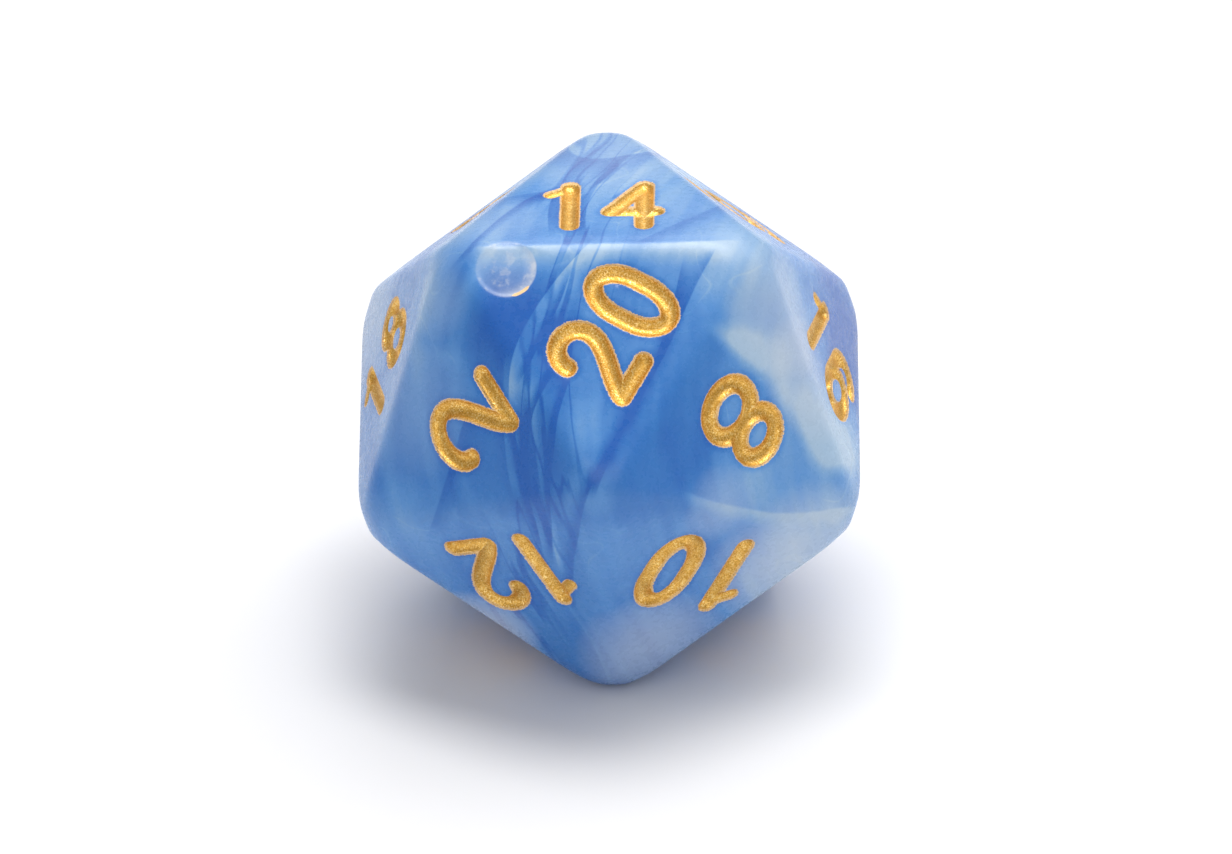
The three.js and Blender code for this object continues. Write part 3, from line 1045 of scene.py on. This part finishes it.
def tone_of_resin(board, place, drift):
    """How pale the resin is at a point, from 0 for deep blue to 1 for pearl."""
    plain_depth = board.add("ShaderNodeSeparateXYZ", None, {"Vector": place}, "Y")
    wander = ease(board, plain_depth, -3.0, 9.0, 0.3, 1.5)
    right, up, depth = slanted(board, place + drift * wander)
    clouds = noise(board, place + drift, CLOUDS_PER_MM, 3.0)
    tone = (clouds - 0.5) * CLOUD_CONTRAST + MEAN_TONE
    tone = tone + patches(board, place + drift * 0.6, TONE_PATCHES)
    for *path, near_side, far_side, amount in UPRIGHT_SHEETS:
        turned = [(y, x) for x, y in path]
        tone = tone + sheet(board, up, right, turned, near_side, far_side) * amount
    # The first level sheet is the painted highlight under the top edge of the 20.
    for *path, near_side, far_side, amount in LEVEL_SHEETS_AND_PAINTED_HIGHLIGHT:
        tone = tone + sheet(board, right, up, path, near_side, far_side) * amount
    feeds = {"X": right * 0.9 - up * up * 0.03, "Y": up * 0.10, "Z": depth * 0.06}
    veils = noise(board, board.add("ShaderNodeCombineXYZ", None, feeds), VEILS_PER_MM)
    beside = right + 2.6 - up * 0.18
    curtain = ease(board, beside, -2.4, -0.4) * ease(board, beside, 3.2, 0.8)
    threads = ease(board, (veils - 0.5).size(), 0.03, 0.0) * curtain
    folds = noise(board, place + drift * 2.0, FOLDS_PER_MM, 1.0)
    wisps = ease(board, (folds - 0.5).size(), 0.012, 0.0) * ease(board, clouds, 0.46, 0.6)
    tone = tone + (veils - 0.5) * VEIL_CONTRAST
    return tone - threads * THREAD_DEPTH + wisps * WISP_PALENESS


print("mean tone:", MEAN_TONE)

# %% [markdown]
# ## The gate mark
# Resin entered the mould here. The disc that was cut off left a shallow, slightly frosted dish, with
# a sliver of gold paint that was caught on its rim. A pale crescent on its lower side is a painted
# highlight, where the wall of the dish faces up to the light.

# %% Finish of the gate mark
LIT_WALL_ANGLE = -92
SLIVER_ANGLE = -119.5
SLIVER_RADIUS = 1.24
SLIVER_WIDTH = 0.085
SWIRLS_PER_MM = 2.2


def gate_finish(board, place):
    """How milky the gate mark is at a point, with a painted highlight on the lower wall of its dish,
    and where a sliver of gold is left on its rim.
    """
    side, top = (Vector(column[:3]) for column in face_frame(20).col[:2])
    offset = place - GATE_CENTRE / MM
    radius = offset.length()
    turns = []
    for degrees in (LIT_WALL_ANGLE, SLIVER_ANGLE):
        direction = side * math.cos(math.radians(degrees)) + top * math.sin(math.radians(degrees))
        turns.append(offset.unit().dot(direction))
    inside = ease(board, radius, GATE_RADIUS / MM, GATE_RADIUS / MM - 0.1)
    swirls = ease(board, noise(board, place, SWIRLS_PER_MM, 3.0, 0.6), 0.50, 0.66)
    # Painted highlight: a pale crescent on the lower wall of the dish, which faces up to the light.
    painted_highlight = ease(board, radius, 0.7, 1.25) * ease(board, turns[0], 0.0, 0.8)
    milk_and_highlight = inside * (painted_highlight * 0.42 + swirls * 0.28 + 0.16)
    width = ease(board, turns[1], 0.92, 0.98) * SLIVER_WIDTH
    return milk_and_highlight, ease(board, (radius - SLIVER_RADIUS).size() - width, 0.0, -0.03)


print("sliver of gold:", SLIVER_RADIUS, "mm from the middle of the gate mark")

# %% [markdown]
# ## The resin's shader
# The tone picks a blue from a ramp, and milk is laid over it, together with the painted highlight
# of the gate mark. The surface is polished but not perfect, so the roughness and a faint waviness
# vary slowly. A little light also travels under the surface. Next to a groove the resin is darkened
# as a painted shade, for the light that the paint keeps out of it, and gold paint has caught on the
# very rim.

# %% Resin finish
RESIN_STOPS = [
    (0.0, (0.006, 0.105, 0.44)),
    (0.30, (0.030, 0.175, 0.52)),
    (0.55, (0.085, 0.265, 0.61)),
    (0.80, (0.200, 0.380, 0.64)),
    (1.0, (0.350, 0.500, 0.67)),
]
MILK = (0.60, 0.645, 0.72, 1)
DRIFTS_PER_MM, DRIFT_SIZE = 0.11, 3.0
MICA_PER_MM, MICA_PALENESS = 12.0, 0.05
WAVES_PER_MM, WAVE_HEIGHT = 1.1, 0.03 * MM
SMEARS_PER_MM = 3.0
FIBRES_PER_MM, FIBRE_REACH = 11.0, 0.18
RIM_PAINTED_SHADE = 0.16
MIDDLE_GREY = Vector((0.5, 0.5, 0.5))

board, place = start_material(resin)
gap = board.add("ShaderNodeAttribute", {"attribute_name": "rim_gap"}, out="Fac")
drift = (noise(board, place, DRIFTS_PER_MM, out="Color") - MIDDLE_GREY) * DRIFT_SIZE
# Painted shade: the resin is darkened near a groove's rim, where the paint keeps light out of it.
painted_rim_shade = ease(board, gap, 0.32, 0.04) * RIM_PAINTED_SHADE
mica = ease(board, noise(board, place, MICA_PER_MM, 1.0), 0.64, 0.74) * MICA_PALENESS
tone = tone_of_resin(board, place, drift) + mica - painted_rim_shade
colour = board.add("ShaderNodeValToRGB", {"stops": RESIN_STOPS}, {"Fac": tone}, "Color")
gate_milk_and_highlight, gate_gold = gate_finish(board, place)
milk_and_highlight = patches(board, place + drift * 0.8, MILK_PATCHES) + gate_milk_and_highlight
colour = blend_colours(board, milk_and_highlight, colour, MILK)
feeds = {"Height": noise(board, place, WAVES_PER_MM), "Strength": 0.12, "Distance": WAVE_HEIGHT}
waves = board.add("ShaderNodeBump", None, feeds)
feeds = {
    "Base Color": colour,
    "Roughness": ease(board, noise(board, place, SMEARS_PER_MM, 3.0), 0.3, 0.7, 0.23, 0.34),
    "Normal": waves,
    "Subsurface Weight": 0.08,
    "Subsurface Radius": (0.6, 0.8, 1.0),
    "Subsurface Scale": 0.6 * MM,
    "IOR": 1.54,
}
cast = board.add("ShaderNodeBsdfPrincipled", None, feeds)
fibres = noise(board, place, FIBRES_PER_MM, 3.0, 0.7)
painted = ease(board, gap + (fibres - 0.5) * FIBRE_REACH, 0.035, 0.01).at_least(gate_gold)
feeds = {"Fac": painted, 1: cast, 2: gold_finish(board, place, gap)}
surface = board.add("ShaderNodeMixShader", None, feeds)
board.add("ShaderNodeOutputMaterial", None, {"Surface": surface})
print("nodes in the resin:", len(resin.node_tree.nodes))

# %% [markdown]
# ## Joining the frame
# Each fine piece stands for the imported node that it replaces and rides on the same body.

# %% Pieces and what they stand for
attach(die_body, "root")
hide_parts("body")
for node, deposit in deposits.items():
    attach(deposit, "root")
    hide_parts(node)
print("pieces on the frame:", 1 + len(deposits))

# %% [markdown]
# ## The sheet it lies on
# The die lies on a plain white sheet, which is wide enough to have no border in view.

# %% Floor
FLOOR_SIZE = 1.2
half = FLOOR_SIZE / 2
floor_points = [(-half, -half, 0), (half, -half, 0), (half, half, 0), (-half, half, 0)]
floor = plain_object("floor", floor_points, faces=[(0, 1, 2, 3)])
paper = bpy.data.materials.new("white_sheet")
board, place = start_material(paper)
feeds = {"Base Color": (0.86, 0.86, 0.87, 1), "Roughness": 0.9, "Specular IOR Level": 0.1}
surface = board.add("ShaderNodeBsdfPrincipled", None, feeds)
board.add("ShaderNodeOutputMaterial", None, {"Surface": surface})
floor.data.materials.append(paper)
print("floor:", FLOOR_SIZE, "m across")

# %% [markdown]
# ## Soft light
# A big softbox hangs above and behind the die, with a brighter core nearly overhead that shapes the
# shadow. A weak fill in front and a bright white room keep the lower faces light.

# %% Lights
ROOM_LIGHT = 0.46
ROOM_COLOUR = (1.0, 0.985, 0.97, 1)
WATTS_PER_GLOW = 4


def softbox(name, azimuth, elevation, distance, width, height, glow):
    """An area light that faces the die. Azimuth 0 is on the camera's side, and 180 behind the die."""
    data = bpy.data.lights.new(name, "AREA")
    data.shape = "RECTANGLE"
    data.size = width
    data.size_y = height
    data.energy = glow * width * height * WATTS_PER_GLOW
    light = put_in_scene(name, data)
    a, e = math.radians(azimuth), math.radians(elevation)
    away = Vector((math.sin(a) * math.cos(e), -math.cos(a) * math.cos(e), math.sin(e)))
    light.location = CENTRE + away * distance
    light.rotation_euler = away.to_track_quat("Z", "Y").to_euler()


softbox("overhead", 148, 64, 0.45, 0.55, 0.46, 1.45)
softbox("overhead_core", 150, 84, 0.45, 0.26, 0.20, 3.6)
softbox("front_fill", 0, 32, 0.60, 0.50, 0.40, 0.8)
world = bpy.data.worlds.new("white_room")
world.use_nodes = True
room = world.node_tree.nodes["Background"].inputs
room["Color"].default_value = ROOM_COLOUR
room["Strength"].default_value = ROOM_LIGHT
bpy.context.scene.world = world
bpy.context.scene.view_settings.view_transform = "Standard"
print("lights:", len(bpy.data.lights))

# %% [markdown]
# ## Camera
# A long lens looks down at the die from far off compared with its size, so the faces are hardly
# foreshortened. The camera is placed by two angles and a distance, aimed slightly beside the middle
# of the die, and rolled a little.

# %% Camera
CAMERA_AZIMUTH = math.radians(1.58)
CAMERA_ELEVATION = math.radians(28.77)
CAMERA_ROLL = math.radians(-1.67)
CAMERA_DISTANCE = 0.411
LENS = 281.3
SENSOR = 36
AIM_RIGHT, AIM_UP = 0.277 * MM, -0.824 * MM
level = math.cos(CAMERA_ELEVATION)
back_x = math.sin(CAMERA_AZIMUTH) * level
back_y = -math.cos(CAMERA_AZIMUTH) * level
back = Vector((back_x, back_y, math.sin(CAMERA_ELEVATION)))
roll = Quaternion((0, 0, 1), CAMERA_ROLL)
rolled = back.to_track_quat("Z", "Y") @ roll
lens = bpy.data.cameras.new("camera")
lens.lens, lens.sensor_width = LENS, SENSOR
camera = put_in_scene("camera", lens)
eye = CENTRE + back * CAMERA_DISTANCE
aim = CENTRE + rolled @ Vector((AIM_RIGHT, AIM_UP, 0))
turn = (eye - aim).normalized().to_track_quat("Z", "Y")
camera.location = eye
camera.rotation_euler = (turn @ roll).to_euler()
bpy.context.scene.camera = camera
print("camera:", [round(x, 3) for x in eye])
